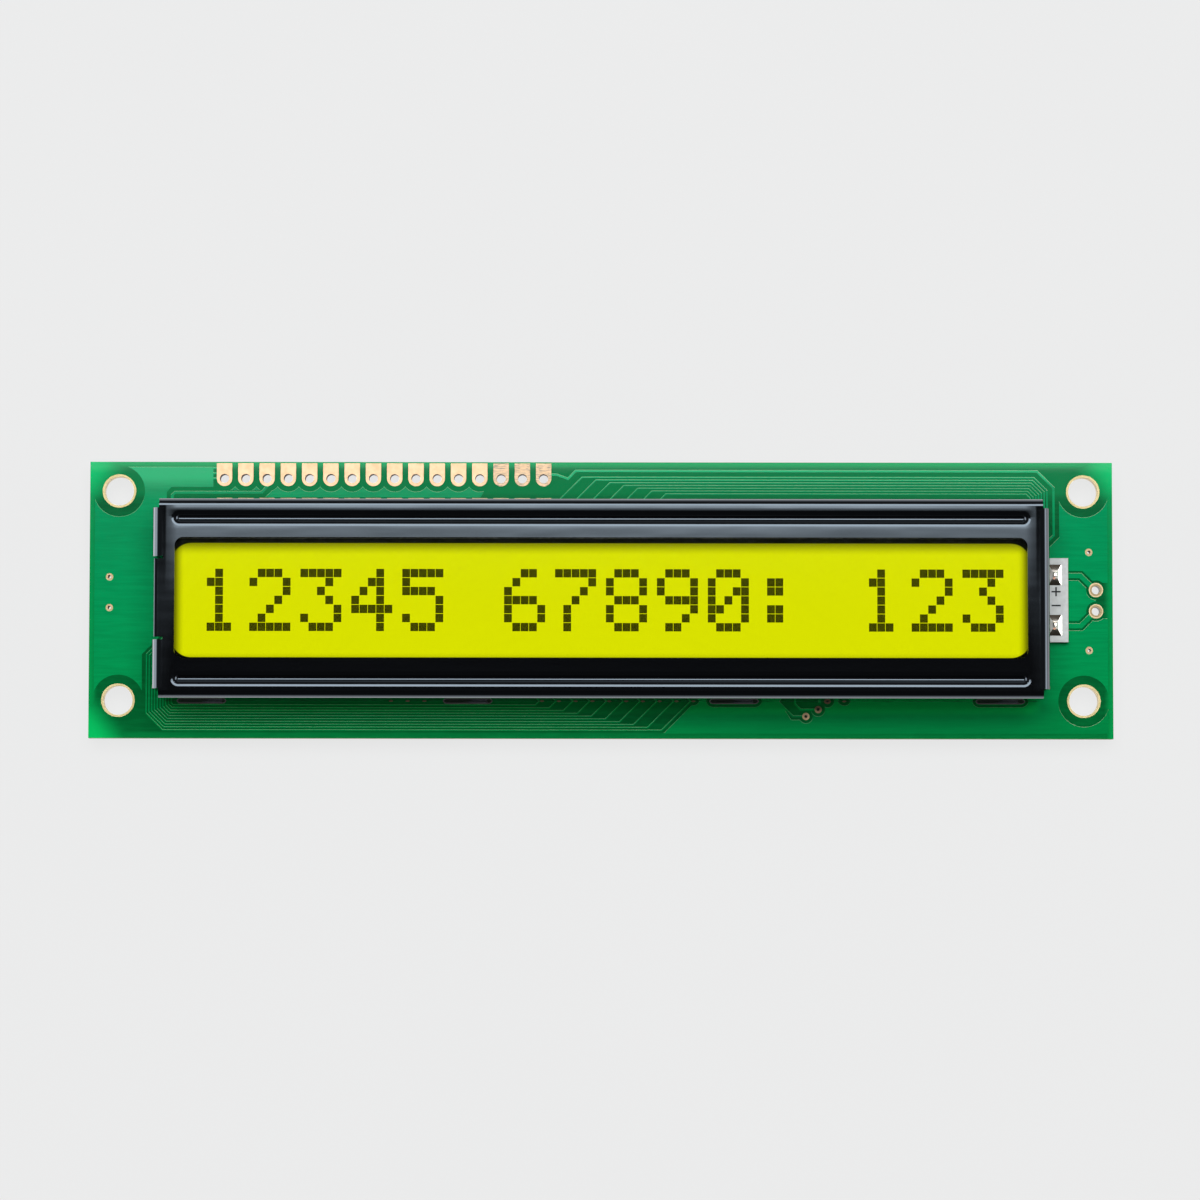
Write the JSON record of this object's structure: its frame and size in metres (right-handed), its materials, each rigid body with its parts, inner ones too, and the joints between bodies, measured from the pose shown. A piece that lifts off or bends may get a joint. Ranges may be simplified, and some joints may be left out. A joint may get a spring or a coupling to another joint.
{
  "type": "character lcd module",
  "caption": "Backlit one-line character display in a black steel bezel on a green circuit board, with a row of plated header holes and corner mounting holes.",
  "frame": {"origin": "middle of the board in plan, in the plane of the bezel tabs' twisted ends behind the board", "axes": "+X along the board towards the backlight terminals, +Y across the board towards the pin header, +Z out of the display's face"},
  "size_m": [0.122, 0.033, 0.0122],
  "materials": {
    "board_resin": "dark green solder resist over glass fibre laminate, semi-gloss",
    "masked_copper": "copper under green solder resist, semi-gloss",
    "gold": "gold plated copper, satin",
    "tin": "bright solder and tinned copper",
    "pin_metal": "tinned copper pin, tip bare",
    "bezel_black": "black lacquered steel sheet, semi-gloss",
    "cell_glass": "polished soda-lime glass",
    "front_film": "polarizer film, anti-glare",
    "rear_film": "polarizer film",
    "seal": "epoxy seal",
    "strip": "silicone contact strip, zebra striped",
    "housing_white": "moulded white",
    "lamp_glow": "lit yellow-green diffuser, emissive",
    "lamp_board": "pale laminate under white resist",
    "led": "light-emitting die",
    "resin_black": "black potting resin, satin",
    "chip_black": "black glazed chip body"
  },
  "bodies": {
    "root": {"circuit_board": "board_resin", "front_copper": "masked_copper", "rear_copper": "masked_copper", "header_pads": "gold", "mounting_rings": "gold", "terminal_rings": "gold", "vias": "gold", "slot_rims": "tin", "contact_pads": "gold", "spare_pads": "gold", "bezel": "bezel_black", "front_polarizer": "front_film", "front_glass": "cell_glass", "cell_seal": "seal", "rear_glass": "cell_glass", "rear_polarizer": "rear_film", "far_contact_strip": "strip", "near_contact_strip": "strip", "backlight_housing": "housing_white", "diffuser": "lamp_glow", "backlight_board": "lamp_board", "led_dice": "led", "backlight_pins": "pin_metal", "terminal_solder": "tin", "controller_cap": "resin_black", "driver_cap": "resin_black", "chip_bodies": "chip_black", "chip_ends": "tin"}
  },
  "joints": []
}
